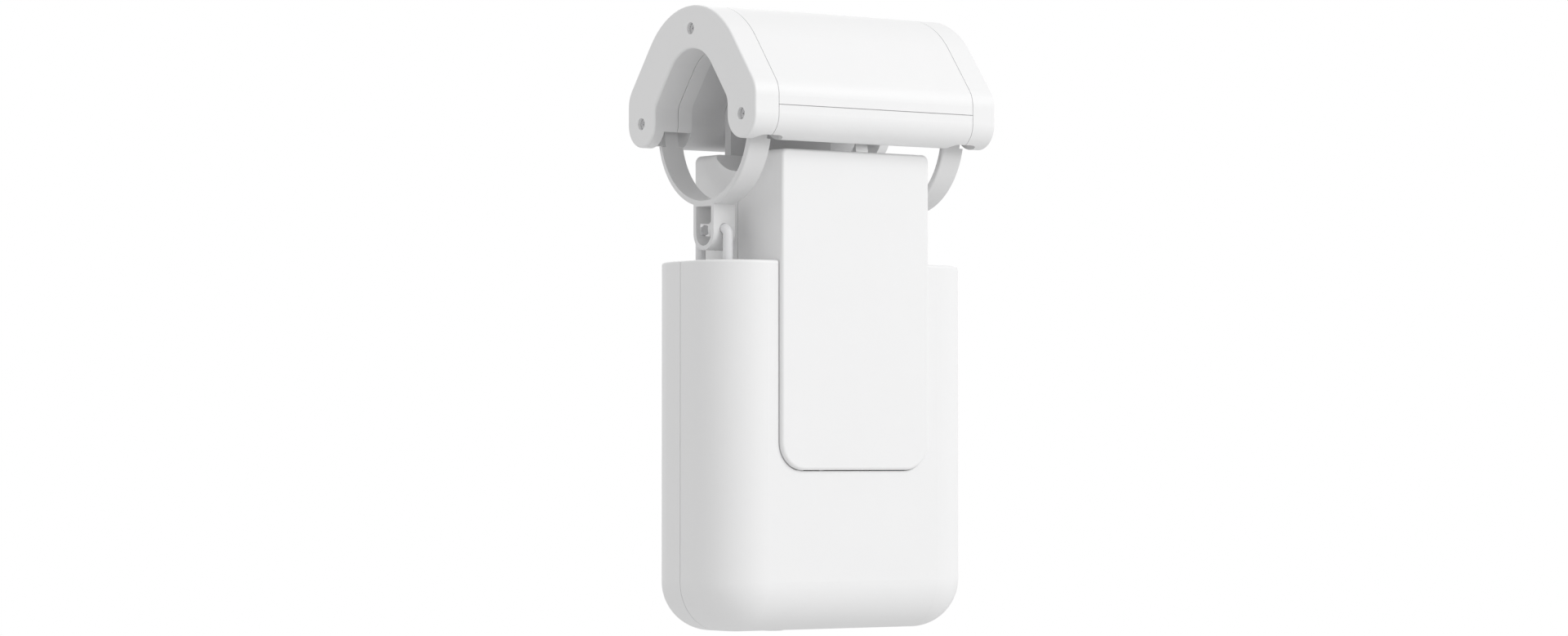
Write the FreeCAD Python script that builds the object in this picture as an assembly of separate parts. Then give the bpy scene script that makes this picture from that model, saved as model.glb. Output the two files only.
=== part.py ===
import FreeCAD, Part
import math
import os

# Curtain robot that hangs on a round rod, in millimetres.
# The origin is on the rod's axis, half way along the head. X runs along the rod, -Y is the front, +Z is up.

# Rod that the robot rides on
rod_d = 28.0
rod_r = rod_d / 2

# Head: a horseshoe that straddles the rod
head_length = 85.4
cap_length = 8.3
crown_top = 31.1
crown_r = 25.8
arch_top = 18.7
arch_r = 12.5
leg_out = 31.65
leg_in = 17.95
lobe_z = -1.3
shoulder_angle = math.radians(37.6)
outer_shoulder_r = 8.0
inner_shoulder_r = 5.0
cover_seam_z = 1.2
cover_wall = 2.0
cap_edge_r = 0.6

# Seams between mouldings
seam_gap = 0.2
seam_depth = 0.6

# Cap screws
cap_screw_d = 1.8
cap_screw_head_d = 3.1
cap_screw_head_h = 1.3
cap_screw_length = 16.0
cap_screw_cross_w = 0.5
cap_screw_cross_l = 1.7
cap_screw_cross_depth = 0.4
cap_counterbore_d = 3.45
cap_counterbore_depth = 2.4
cap_screw_crown_z = 24.46

# Neck and its two long covers
neck_width = 52.4
neck_depth = 43.4
neck_top = -10.1
neck_bottom = -101.0
neck_top_r = 2.0
neck_bottom_r = 8.0
neck_edge_r = 0.9
neck_wall = 2.2
neck_plate_thick = 3.6
neck_roof = 1.5
saddle_gap = 1.5
neck_skirt = 3.0
neck_boss_wall = 0.8

# Body
body_width = 92.2
body_depth = 40.6
body_top = -41.7
body_bottom = -146.6
body_corner_r = 16.0
body_roll_r = 14.0
body_top_edge_r = 0.8
body_wall = 2.2
cover_gap = 0.25

# Drive wheel and its gears, all turning about axes along Y
wheel_waist_r = 11.0
wheel_width = 14.0
hub_r = 8.0
drive_axle_r = 2.0
gear_module = 0.8
gear_addendum = 0.9
gear_dedendum = 1.2
wheel_teeth = 22
transfer_teeth = 30
pinion_teeth = 12
gear_width = 3.6
gear_front_y = -11.6
gear_backlash = 0.12
pressure_angle = math.radians(20)
transfer_pin_r = 1.5
transfer_pin_past = 2.0
motor_d = 26.0
motor_length = 19.0
motor_shaft_r = 1.5
motor_shaft_depth = 3.0
shaft_gap = 0.05

# Gearbox
gearbox_half_depth = 13.9
gearbox_plate = 2.0
gearbox_half_width = 18.2
gearbox_top = -15.6
gearbox_bottom = -76.5
post_r = 2.2
post_x = 15.4
post_inset = 4.0
bearing_r = 4.5
box_screw_r = 1.0
box_screw_head_r = 2.0
box_screw_head_h = 1.2
part_gap = 0.3

# Idler rollers in the head
idler_x = 16.0
idler_waist_r = 4.2
idler_width = 15.0
idler_bush_r = 2.4
idler_axle_r = 1.2
idler_axle_length = 21.0
idler_end_gap = 0.3

# Rear arm that carries the head, and the two springs that pull it down
lift = 32.0
arm_half_width = 18.0
arm_front_y = 15.0
arm_rear_y = 17.95
arm_top = 9.5
arm_bottom = -80.0
arm_gap = 0.15
rail_width = 2.0
ear_height = 2.0
stop_half_width = 6.0
stop_height = 2.0
arm_screw_x = 10.0
arm_screw_z = 4.6
arm_screw_r = 1.0
arm_screw_head_r = 1.9
arm_screw_head_h = 0.6
arm_screw_length = 11.0
spring_x = 11.0
spring_y = 14.9
spring_r = 2.5
spring_wire = 0.6
spring_eye_r = 2.0
spring_hook_r = 0.8
spring_low_z = -108.0
spring_post_r = 1.1

# Rings round the rod, open at the top, whose arms stand in the head's legs, and the wire bails that carry them
ring_x = 34.4
ring_z = -2.8
ring_width = 7.4
ring_inner_r = 21.6
ring_band = 1.6
ring_edge_r = 0.5
ring_arm_width = 4.4
ring_arm_low = -7.8
ring_arm_top = 0.0
ring_room_width = 9.4
ring_room_out_y = 28.3
ring_room_in_y = 20.2
ring_room_top = 7.0
ring_mouth_top = -3.6
ring_room_r = 2.5
eyelet_half_width = 5.0
eyelet_wall = 1.3
eyelet_bottom = -38.5
eyelet_top = -24.6
eyelet_hole_top = -26.0
eyelet_window_w = 4.4
eyelet_window_h = 3.6
eyelet_boss_r = 2.9
eyelet_boss_y = -1.0
bail_wire_r = 1.45
bail_pin_z = -32.5
bail_gap = 0.12
bail_side_gap = 0.3
bail_base_z = -51.0
bail_base_bend_r = 2.4
grommet_r = 2.4
grommet_rise = 0.3

# Battery, electronics and controls
cell_r = 9.2
cell_length = 65.0
cell_side_gap = 2.5
cell_bottom = -136.5
cell_cap_r = 3.0
cell_cap_h = 0.8
holder_gap = 0.3
holder_wall = 1.6
holder_half_width = 7.0
board_side_gap = 3.0
board_top = -112.0
board_bottom = -141.5
board_y = 3.3
board_thick = 1.6
board_standoff_r = 2.2
board_standoff_x = 16.0
board_standoff_z = -116.0
chip_size = 7.0
chip_height = 1.2
port_width = 9.0
port_height = 3.2
port_depth = 7.4
port_wall = 0.4
port_tongue = 0.7
button_x = -13.0
button_r = 3.2
button_flange_r = 4.1
button_flange_h = 0.8
button_proud = 0.4
button_gap = 0.15
button_travel = 0.5
switch_size = 5.0
light_x = 12.0
light_r = 1.2
housing_boss_r = 3.0
housing_screw_r = 1.1
housing_screw_head_r = 2.1
housing_screw_head_h = 1.4
housing_screw_x = 29.0
housing_screw_top_z = -60.0
housing_screw_low_z = -106.0

# Coordinates nearer than this are the same
hair = 0.001

# Worked out from the sizes above
seam_x = head_length / 2 - cap_length
lobe_y = (leg_out + leg_in) / 2
neck_half = neck_width / 2
neck_y = neck_depth / 2
neck_inner_y = neck_y - neck_plate_thick
saddle_r = rod_r + saddle_gap
body_x = body_width / 2
body_y = body_depth / 2
body_inner_y = body_y - body_wall
wheel_z = -rod_r - wheel_waist_r
transfer_z = wheel_z - gear_module * (wheel_teeth + transfer_teeth) / 2
pinion_z = transfer_z - gear_module * (transfer_teeth + pinion_teeth) / 2
gear_rear_y = gear_front_y + gear_width
plate_inner_y = gearbox_half_depth - gearbox_plate
post_zs = (gearbox_top - post_inset, gearbox_bottom + post_inset)
idler_z = rod_r + idler_waist_r
frame_x = ring_x - ring_room_width / 2
bail_leg_y = eyelet_half_width + bail_side_gap + bail_wire_r
cell_x = body_x - body_wall - cell_side_gap - cell_r
board_half_width = cell_x - cell_r - board_side_gap
board_rear_y = board_y + board_thick
rail_bottom = arm_bottom + ear_height + lift + part_gap
head_low = lobe_z - 2 * lobe_y
arm_screw_end = arm_front_y + arm_screw_length
sides = (("left", -1), ("right", 1))


def vec(x, y, z):
    return FreeCAD.Vector(x, y, z)


def box(x0, x1, y0, y1, z0, z1):
    return Part.makeBox(x1 - x0, y1 - y0, z1 - z0, vec(x0, y0, z0))


def cyl_x(r, x0, x1, y, z):
    return Part.makeCylinder(r, x1 - x0, vec(x0, y, z), vec(1, 0, 0))


def cyl_y(r, y0, y1, x, z):
    return Part.makeCylinder(r, y1 - y0, vec(x, y0, z), vec(0, 1, 0))


def cyl_z(r, z0, z1, x, y):
    return Part.makeCylinder(r, z1 - z0, vec(x, y, z0), vec(0, 0, 1))


def fuse(shapes):
    whole = shapes[0]
    for shape in shapes[1:]:
        whole = whole.fuse(shape)
    return whole.removeSplitter()


def save(name, shape):
    shape.exportStep("parts/" + name + ".step")


def mirrored(shape, side):
    # The left part as it is, or its mirror image for the right
    if side < 0:
        return shape
    return shape.mirror(vec(0, 0, 0), vec(1, 0, 0))


# Head profile


def horseshoe(x0, x1, outer_inset=0.0, inner_inset=0.0):
    # The head's section from one X to another, with its outer and inner outlines drawn in by an inset
    n_y = math.cos(shoulder_angle)
    n_z = math.sin(shoulder_angle)
    crown_z = crown_top - crown_r
    arch_z = arch_top - arch_r
    outer_y = leg_out - outer_shoulder_r
    outer_z = (n_z * crown_z + crown_r - outer_shoulder_r - n_y * outer_y) / n_z
    inner_y = leg_in - inner_shoulder_r
    inner_z = (n_z * arch_z + arch_r - inner_shoulder_r - n_y * inner_y) / n_z
    out_y = leg_out - outer_inset
    in_y = leg_in + inner_inset
    lobe_r = (out_y - in_y) / 2

    def at(centre_y, centre_z, radius, angle):
        return (centre_y + radius * math.cos(angle), centre_z + radius * math.sin(angle))

    crown = at(0, crown_z, crown_r - outer_inset, shoulder_angle)
    outer_start = at(outer_y, outer_z, outer_shoulder_r - outer_inset, shoulder_angle)
    outer_mid = at(outer_y, outer_z, outer_shoulder_r - outer_inset, shoulder_angle / 2)
    inner_mid = at(inner_y, inner_z, inner_shoulder_r + inner_inset, shoulder_angle / 2)
    inner_end = at(inner_y, inner_z, inner_shoulder_r + inner_inset, shoulder_angle)
    arch = at(0, arch_z, arch_r + inner_inset, shoulder_angle)

    def half(sign):
        def p(point):
            return vec(x0, sign * point[0], point[1])

        def line(a, b):
            return Part.makeLine(p(a), p(b))

        def arc(a, b, c):
            return Part.Arc(p(a), p(b), p(c)).toShape()

        return [
            line(crown, outer_start),
            arc(outer_start, outer_mid, (out_y, outer_z)),
            line((out_y, outer_z), (out_y, lobe_z)),
            arc((out_y, lobe_z), (out_y - lobe_r, lobe_z - lobe_r), (in_y, lobe_z)),
            line((in_y, lobe_z), (in_y, inner_z)),
            arc((in_y, inner_z), inner_mid, inner_end),
            line(inner_end, arch),
        ]

    def bridge(point, top):
        left = vec(x0, -point[0], point[1])
        right = vec(x0, point[0], point[1])
        return Part.Arc(left, vec(x0, 0, top), right).toShape()

    bridges = [bridge(crown, crown_top - outer_inset), bridge(arch, arch_top + inner_inset)]
    edges = half(1) + half(-1) + bridges
    wire = Part.Wire(Part.__sortEdges__(edges))
    return Part.Face(wire).extrude(vec(x1 - x0, 0, 0))


def ring_room(side):
    # Room for the ring's arms in the head's two legs, open downwards so that the head lifts clear of them
    half = ring_room_width / 2
    x0 = side * ring_x - half
    x1 = side * ring_x + half
    room = box(x0, x1, -ring_room_out_y, ring_room_out_y, head_low, ring_room_top)
    upright = [e for e in room.Edges if e.BoundBox.ZLength > hair]
    room = room.makeFillet(ring_room_r, upright)
    return room.cut(box(x0, x1, -ring_room_in_y, ring_room_in_y, ring_mouth_top, ring_room_top))


def cap_screw_places():
    return ((0, cap_screw_crown_z), (lobe_y, lobe_z), (-lobe_y, lobe_z))


def head_inside(x0, x1):
    # What lies under the outer covers, from one X to another
    core = horseshoe(x0, x1, cover_wall)
    under = horseshoe(x0, x1).common(box(x0, x1, -lobe_y, lobe_y, head_low, cover_seam_z))
    return core.fuse(under).removeSplitter()


def end_cap(side):
    # Closing cap on the head's left end: the full section, rounded at its outer face, with a plug that fits
    # inside the covers and rooms for the ring's arms
    x0 = -head_length / 2
    cap = horseshoe(x0, -seam_x)
    rim = [e for e in cap.Edges if abs(e.BoundBox.XMax - x0) < hair]
    cap = cap.makeFillet(cap_edge_r, rim)
    groove = horseshoe(-seam_x - seam_gap, -seam_x).cut(
        horseshoe(-seam_x - seam_gap, -seam_x, seam_depth, seam_depth))
    cap = cap.cut(groove).fuse(head_inside(-seam_x, -frame_x))
    for y, z in cap_screw_places():
        cap = cap.cut(cyl_x(cap_counterbore_d / 2, x0, x0 + cap_counterbore_depth, y, z))
        cap = cap.cut(cyl_x(cap_screw_d / 2 + shaft_gap, x0, -frame_x, y, z))
    return mirrored(cap.cut(ring_room(-1)).removeSplitter(), side)


def cap_screws():
    # Each has a cross recess in its head
    cross_w = cap_screw_cross_w / 2
    cross_l = cap_screw_cross_l / 2
    screws = []
    for name, side in sides:
        for y, z in cap_screw_places():
            x0 = -head_length / 2 + cap_counterbore_depth
            head = cyl_x(cap_screw_head_d / 2, x0 - cap_screw_head_h, x0, y, z)
            for across, along in ((cross_w, cross_l), (cross_l, cross_w)):
                recess = box(x0 - cap_screw_head_h, x0 - cap_screw_head_h + cap_screw_cross_depth,
                             y - across, y + across, z - along, z + along)
                head = head.cut(recess)
            shank = cyl_x(cap_screw_d / 2, x0, x0 + cap_screw_length, y, z)
            screws.append(mirrored(head.fuse(shank), side))
    return Part.makeCompound(screws)


def head_covers():
    # Top cover, front strip and rear strip: one skin parted by two straight seams
    skin = horseshoe(-seam_x, seam_x).cut(head_inside(-seam_x, seam_x))
    slit = seam_gap / 2
    for y0, y1 in ((-leg_out, -leg_in), (leg_in, leg_out)):
        seam = box(-seam_x, seam_x, y0, y1, cover_seam_z - slit, cover_seam_z + slit)
        skin = skin.cut(seam.cut(horseshoe(-seam_x, seam_x, seam_depth)))
    for name, side in sides:
        skin = skin.cut(ring_room(side))
    top = skin.common(box(-seam_x, seam_x, -leg_out, leg_out, cover_seam_z, crown_top))
    front = skin.common(box(-seam_x, seam_x, -leg_out, 0, head_low, cover_seam_z))
    rear = skin.common(box(-seam_x, seam_x, 0, leg_out, head_low, cover_seam_z))
    return top, front, rear


def idler_flange_r():
    # The roller's end radius, where its hollow face follows the rod
    return idler_z - math.sqrt(rod_r ** 2 - (idler_width / 2) ** 2)


def head_frame():
    # Carrier inside the head, with a pocket for each idler, the arm's socket and the cap screws' pilots
    frame = head_inside(-frame_x, frame_x)
    pocket_r = idler_flange_r() + part_gap * 2
    half = idler_width / 2 + idler_end_gap
    for name, side in sides:
        x = side * idler_x
        frame = frame.cut(cyl_y(pocket_r, -half, half, x, idler_z))
        frame = frame.cut(box(x - pocket_r, x + pocket_r, -half, half, 0, idler_z))
        axle_half = idler_axle_length / 2
        frame = frame.cut(cyl_y(idler_axle_r, -axle_half, axle_half, x, idler_z))
        end = head_length / 2 - cap_counterbore_depth
        for y, z in cap_screw_places():
            pilot = cyl_x(cap_screw_d / 2, -end, -end + cap_screw_length, y, z)
            frame = frame.cut(mirrored(pilot, side))
    half = arm_half_width + arm_gap
    frame = frame.cut(box(-half, half, arm_front_y - arm_gap, arm_rear_y, head_low, arm_top))
    for name, side in sides:
        frame = frame.cut(cyl_y(arm_screw_r, arm_rear_y, arm_screw_end, side * arm_screw_x, arm_screw_z))
    return frame


# Rollers and drive wheel


def hollow_roller(width, waist_r, rod_side_z, bore_r):
    # A roller whose face is hollowed to the rod's round, turned about Y at the origin
    end_r = rod_side_z - math.sqrt(rod_r ** 2 - (width / 2) ** 2)
    half = width / 2
    face = Part.Arc(vec(end_r, -half, 0), vec(waist_r, 0, 0), vec(end_r, half, 0)).toShape()
    edges = [
        face,
        Part.makeLine(vec(end_r, half, 0), vec(bore_r, half, 0)),
        Part.makeLine(vec(bore_r, half, 0), vec(bore_r, -half, 0)),
        Part.makeLine(vec(bore_r, -half, 0), vec(end_r, -half, 0)),
    ]
    section = Part.Face(Part.Wire(edges))
    return section.revolve(vec(0, 0, 0), vec(0, 1, 0), 360)


def idler_tyre(side):
    tyre = hollow_roller(idler_width, idler_waist_r, idler_z, idler_bush_r)
    tyre.translate(vec(side * idler_x, 0, idler_z))
    return tyre


def idler_bush(side):
    half = idler_width / 2
    x = side * idler_x
    bore = cyl_y(idler_axle_r + shaft_gap, -half, half, x, idler_z)
    return cyl_y(idler_bush_r, -half, half, x, idler_z).cut(bore)


def idler_axle(side):
    half = idler_axle_length / 2
    return cyl_y(idler_axle_r, -half, half, side * idler_x, idler_z)


def drive_tyre():
    tyre = hollow_roller(wheel_width, wheel_waist_r, -wheel_z, hub_r)
    tyre.translate(vec(0, 0, wheel_z))
    return tyre


def drive_hub():
    half = wheel_width / 2
    hub = cyl_y(hub_r, -half, half, 0, wheel_z)
    boss = cyl_y(bearing_r, gear_rear_y, plate_inner_y - part_gap, 0, wheel_z)
    return hub.fuse(boss).cut(cyl_y(drive_axle_r, gear_rear_y, plate_inner_y, 0, wheel_z))


def drive_axle():
    return cyl_y(drive_axle_r, -gearbox_half_depth, gearbox_half_depth, 0, wheel_z)


def involute_gear(teeth, bore_r, turn):
    # Spur gear about Y at the origin, with each flank an involute through three points
    pitch_r = gear_module * teeth / 2
    base_r = pitch_r * math.cos(pressure_angle)
    tip_r = pitch_r + gear_module * gear_addendum
    root_r = pitch_r - gear_module * gear_dedendum
    half_tooth = math.pi / (2 * teeth) - gear_backlash / (2 * pitch_r)

    def polar_angle(r):
        if r <= base_r:
            return 0.0
        roll = math.sqrt((r / base_r) ** 2 - 1)
        return roll - math.atan(roll)

    def flank_half_angle(r):
        return half_tooth + polar_angle(pitch_r) - polar_angle(r)

    low_r = max(base_r, root_r)
    radii = [low_r, pitch_r, tip_r]
    points = []
    for tooth in range(teeth):
        centre = turn + 2 * math.pi * tooth / teeth
        rising = [(r, centre - flank_half_angle(r)) for r in radii]
        falling = [(r, centre + flank_half_angle(r)) for r in reversed(radii)]
        root = [(root_r, rising[0][1])] if root_r < low_r else []
        root_end = [(root_r, falling[-1][1])] if root_r < low_r else []
        points += root + rising + falling + root_end
    corners = [vec(r * math.sin(a), 0, r * math.cos(a)) for r, a in points]
    blank = Part.Face(Part.makePolygon(corners + corners[:1])).extrude(vec(0, gear_width, 0))
    return blank.cut(cyl_y(bore_r, 0, gear_width, 0, 0))


def placed_gear(teeth, bore_r, turn, z):
    gear = involute_gear(teeth, bore_r, turn)
    gear.translate(vec(0, gear_front_y, z))
    return gear


def wheel_gear():
    # A tooth points straight down, into a space of the gear below
    return placed_gear(wheel_teeth, drive_axle_r, math.pi, wheel_z)


def transfer_gear():
    # A space faces straight up, and so one faces straight down, because the teeth are even in number
    return placed_gear(transfer_teeth, transfer_pin_r + shaft_gap, math.pi / transfer_teeth, transfer_z)


def motor_pinion():
    return placed_gear(pinion_teeth, motor_shaft_r, 0, pinion_z)


def transfer_pin():
    return cyl_y(transfer_pin_r, -gearbox_half_depth, gear_rear_y + transfer_pin_past, 0, transfer_z)


def motor_front_y():
    return plate_inner_y - motor_length


def motor_shaft():
    return cyl_y(motor_shaft_r, gear_front_y, motor_front_y() + motor_shaft_depth, 0, pinion_z)


def gear_motor():
    can = cyl_y(motor_d / 2, motor_front_y(), plate_inner_y, 0, pinion_z)
    bore = cyl_y(motor_shaft_r + shaft_gap, motor_front_y(), motor_front_y() + motor_shaft_depth, 0, pinion_z)
    return can.cut(bore)


# Gearbox


def gearbox_plate_blank(y0):
    return box(-gearbox_half_width, gearbox_half_width, y0, y0 + gearbox_plate, gearbox_bottom, gearbox_top)


def post_places():
    return [(side * post_x, z) for name, side in sides for z in post_zs]


def gearbox_front():
    # Front plate with the four posts that space the two plates
    plate = gearbox_plate_blank(-gearbox_half_depth)
    for x, z in post_places():
        plate = plate.fuse(cyl_y(post_r, -plate_inner_y, plate_inner_y, x, z))
        plate = plate.cut(cyl_y(box_screw_r, -gearbox_half_depth, plate_inner_y, x, z))
    plate = plate.cut(cyl_y(bearing_r, -gearbox_half_depth, -plate_inner_y, 0, wheel_z))
    plate = plate.cut(cyl_y(transfer_pin_r, -gearbox_half_depth, -plate_inner_y, 0, transfer_z))
    return plate


def gearbox_rear():
    plate = gearbox_plate_blank(plate_inner_y)
    for x, z in post_places():
        plate = plate.cut(cyl_y(box_screw_r, plate_inner_y, gearbox_half_depth, x, z))
    return plate.cut(cyl_y(bearing_r, plate_inner_y, gearbox_half_depth, 0, wheel_z))


def drive_bearings():
    bores = cyl_y(drive_axle_r + shaft_gap, -gearbox_half_depth, gearbox_half_depth, 0, wheel_z)
    front = cyl_y(bearing_r, -gearbox_half_depth, -plate_inner_y, 0, wheel_z).cut(bores)
    rear = cyl_y(bearing_r, plate_inner_y, gearbox_half_depth, 0, wheel_z).cut(bores)
    return Part.makeCompound([front, rear])


def gearbox_screws():
    # Each screw passes the front cover's boss and the post, with its head in the boss
    screws = []
    for x, z in post_places():
        head_y = -neck_inner_y
        head = cyl_y(box_screw_head_r, head_y, head_y + box_screw_head_h, x, z)
        shank = cyl_y(box_screw_r, head_y + box_screw_head_h, gearbox_half_depth, x, z)
        screws.append(head.fuse(shank))
    return Part.makeCompound(screws)


# Neck


def rounded_outline(half_width, top, bottom, top_r, bottom_r, y0, y1):
    # A plate seen from the front, with its own radius at the top and bottom corners
    plate = box(-half_width, half_width, y0, y1, bottom, top)
    upright = [e for e in plate.Edges if abs(e.BoundBox.YMax - e.BoundBox.YMin - (y1 - y0)) < hair]
    upper = [e for e in upright if e.BoundBox.ZMin > (top + bottom) / 2]
    plate = plate.makeFillet(top_r, upper)
    upright = [e for e in plate.Edges if abs(e.BoundBox.YMax - e.BoundBox.YMin - (y1 - y0)) < hair]
    lower = [e for e in upright if e.BoundBox.ZMax < bottom + bottom_r / 2 and len(e.Vertexes) == 2]
    return plate.makeFillet(bottom_r, lower)


def neck_front():
    # Front half of the neck and its long front face, one moulding
    face = rounded_outline(neck_half, neck_top, neck_bottom, neck_top_r, neck_bottom_r,
                           -neck_y, -neck_inner_y)
    rim = [e for e in face.Edges if abs(e.BoundBox.YMax + neck_y) < hair]
    face = face.makeFillet(neck_edge_r, rim)
    sleeve = rounded_outline(neck_half, neck_top, body_top - neck_skirt, neck_top_r, neck_edge_r,
                             -neck_inner_y, 0)
    inner = neck_half - neck_wall
    hollow = box(-inner, inner, -neck_inner_y, 0, body_top - neck_skirt, neck_top - neck_roof)
    sleeve = sleeve.cut(hollow)
    floor = cyl_x(saddle_r + neck_roof, -neck_half, neck_half, 0, 0)
    floor = floor.common(box(-inner, inner, -neck_inner_y, 0, -rod_d, neck_top))
    whole = face.fuse(sleeve).fuse(floor)
    return whole.cut(cyl_x(saddle_r, -neck_half, neck_half, 0, 0))


def wheel_window():
    # Opening in the saddle for the drive wheel
    half = wheel_width / 2 + part_gap * 2
    reach = wheel_waist_r + part_gap
    return box(-reach, reach, -half, half, -rod_d, 0)


def seam_groove(block, core):
    slit = seam_gap / 2
    return block.cut(core).common(box(-body_width, body_width, -slit, slit, body_bottom * 2, crown_top))


def neck_seam():
    block = box(-neck_half, neck_half, -neck_y, neck_y, body_top - neck_skirt, neck_top)
    inner = neck_half - seam_depth
    core = box(-inner, inner, -neck_y, neck_y, body_top - neck_skirt, neck_top)
    return seam_groove(block, core)


def neck_front_cover():
    cover = neck_front().cut(wheel_window()).cut(neck_seam())
    for x, z in post_places():
        boss = cyl_y(post_r + neck_boss_wall, -neck_inner_y, -gearbox_half_depth, x, z)
        cover = cover.fuse(boss)
    for x, z in post_places():
        cover = cover.cut(cyl_y(box_screw_head_r, -neck_inner_y, -neck_inner_y + box_screw_head_h, x, z))
        cover = cover.cut(cyl_y(box_screw_r, -neck_inner_y, -gearbox_half_depth, x, z))
    return cover.removeSplitter()


def neck_rear_cover():
    # Rear half of the neck, with the slot and rails that guide the head's arm and the stop it rests above
    cover = neck_front().mirror(vec(0, 0, 0), vec(0, 1, 0)).cut(wheel_window()).cut(neck_seam())
    half = arm_half_width + arm_gap
    rail_front_y = gearbox_half_depth + part_gap
    cover = cover.cut(box(-half, half, arm_front_y - arm_gap, neck_inner_y, neck_top - neck_roof, neck_top))
    for name, side in sides:
        x0 = side * half + (side - 1) / 2 * rail_width
        rail = box(x0, x0 + rail_width, rail_front_y, neck_inner_y, rail_bottom, neck_top - neck_roof)
        cover = cover.fuse(rail)
    stop_top = arm_bottom - part_gap
    stop = box(-stop_half_width, stop_half_width, arm_front_y, neck_inner_y, stop_top - stop_height, stop_top)
    return cover.fuse(stop).removeSplitter()


# Body


def body_block(inset, top):
    # The body's outer form, or its inside when drawn in by the wall
    half_x = body_x - inset
    half_y = body_y - inset
    block = box(-half_x, half_x, -half_y, half_y, body_bottom + inset, top)
    upright = [e for e in block.Edges if e.BoundBox.ZLength > (top - body_bottom) / 2]
    block = block.makeFillet(body_corner_r - inset, upright)
    floor = [e for e in block.Edges if e.BoundBox.ZMax < body_bottom + inset + hair]
    return block.makeFillet(body_roll_r - inset, floor)


def body_shell():
    outer = body_block(0, body_top)
    rim = [e for e in outer.Edges if e.BoundBox.ZMin > body_top - hair]
    outer = outer.makeFillet(body_top_edge_r, rim)
    shell = outer.cut(body_block(body_wall, body_top - body_wall))
    gap = cover_gap
    opening = rounded_outline(neck_half + gap, body_top + neck_skirt, neck_bottom - gap,
                              neck_top_r, neck_bottom_r + gap, -body_y, body_y)
    through = opening.cut(box(-neck_half - gap, neck_half + gap, -neck_inner_y, neck_inner_y, 2 * body_bottom,
                              body_top - body_wall))
    return shell.cut(through)


def housing_screw_places():
    upper = [(side * housing_screw_x, housing_screw_top_z) for name, side in sides]
    return upper + [(0, housing_screw_low_z)]


def bail_holes(radius):
    holes = []
    for name, side in sides:
        for y in (-bail_leg_y, bail_leg_y):
            holes.append(cyl_z(radius, body_top - body_wall, body_top + grommet_rise, side * ring_x, y))
    return holes


def body_halves():
    shell = body_shell()
    slit = seam_gap / 2
    ring = body_block(0, body_top).cut(body_block(seam_depth, body_top - seam_depth))
    shell = shell.cut(ring.common(box(-body_x, body_x, -slit, slit, body_bottom, body_top)))
    for hole in bail_holes(grommet_r - seam_depth):
        shell = shell.cut(hole)
    low = 2 * body_bottom
    front = shell.common(box(-body_x, body_x, -body_y, 0, low, 0))
    back = shell.common(box(-body_x, body_x, 0, body_y, low, 0))
    recess_y = body_y - 2 * housing_screw_head_h
    for x, z in housing_screw_places():
        front = front.fuse(cyl_y(housing_boss_r, -body_inner_y, 0, x, z))
        back = back.fuse(cyl_y(housing_boss_r, 0, body_inner_y, x, z))
        front = front.cut(cyl_y(housing_screw_r, -body_inner_y / 2, 0, x, z))
        back = back.cut(cyl_y(housing_screw_r, 0, body_y, x, z))
        back = back.cut(cyl_y(housing_screw_head_r + shaft_gap, recess_y, body_y, x, z))
    return front, back


def body_front_shell(front):
    # Openings in the floor for the port, the button and the light lie across the seam
    return front.cut(floor_openings()).removeSplitter()


def body_back_cover(back):
    # Posts for the springs and standoffs for the circuit board
    cover = back.cut(floor_openings())
    for name, side in sides:
        x = side * board_standoff_x
        post = cyl_y(spring_post_r, spring_y - spring_r, body_inner_y, side * spring_x, spring_low_z)
        cover = cover.fuse(post)
        cover = cover.fuse(cyl_y(board_standoff_r, board_rear_y, body_inner_y, x, board_standoff_z))
    return cover.removeSplitter()


def port_y():
    return board_y - port_height / 2


def obround(half_width, radius, z0, z1, x, y):
    # A slot-shaped block standing along Z
    middle = box(x - half_width + radius, x + half_width - radius, y - radius, y + radius, z0, z1)
    ends = [cyl_z(radius, z0, z1, x + s * (half_width - radius), y) for s in (-1, 1)]
    return fuse([middle] + ends)


def floor_openings():
    low = body_bottom - body_wall
    high = body_bottom + body_wall
    port = obround(port_width / 2 + button_gap, port_height / 2 + button_gap, low, high, 0, port_y())
    button = cyl_z(button_r + button_gap, low, high, button_x, port_y())
    light = cyl_z(light_r, low, high, light_x, port_y())
    return port.fuse(button).fuse(light)


def housing_screws():
    screws = []
    for x, z in housing_screw_places():
        head_y = body_y - 2 * housing_screw_head_h
        head = cyl_y(housing_screw_head_r, head_y, head_y + housing_screw_head_h, x, z)
        shank = cyl_y(housing_screw_r, -body_inner_y / 2, head_y, x, z)
        screws.append(head.fuse(shank))
    return Part.makeCompound(screws)


# Arm and springs


def rear_arm():
    # Flat arm that joins the head's rear leg to the inside of the neck, with an ear each side that meets the
    # lower end of its rail at full lift
    arm = box(-arm_half_width, arm_half_width, arm_front_y, arm_rear_y, arm_bottom, arm_top)
    corners = [e for e in arm.Edges if e.BoundBox.YLength > arm_rear_y - arm_front_y - hair]
    arm = arm.makeFillet(neck_top_r, [e for e in corners if e.BoundBox.ZMin > 0])
    ear_x = arm_half_width + rail_width - arm_gap
    arm = arm.fuse(box(-ear_x, ear_x, arm_front_y, arm_rear_y, arm_bottom, arm_bottom + ear_height))
    for name, side in sides:
        arm = arm.cut(cyl_y(arm_screw_r, arm_front_y, arm_rear_y, side * arm_screw_x, arm_screw_z))
        arm = arm.cut(cyl_y(arm_screw_head_r, arm_front_y, arm_front_y + arm_screw_head_h,
                            side * arm_screw_x, arm_screw_z))
        hook_z = arm_bottom + spring_eye_r
        arm = arm.cut(cyl_y(spring_post_r, arm_front_y, arm_rear_y, side * spring_x, hook_z))
    return arm


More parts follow.
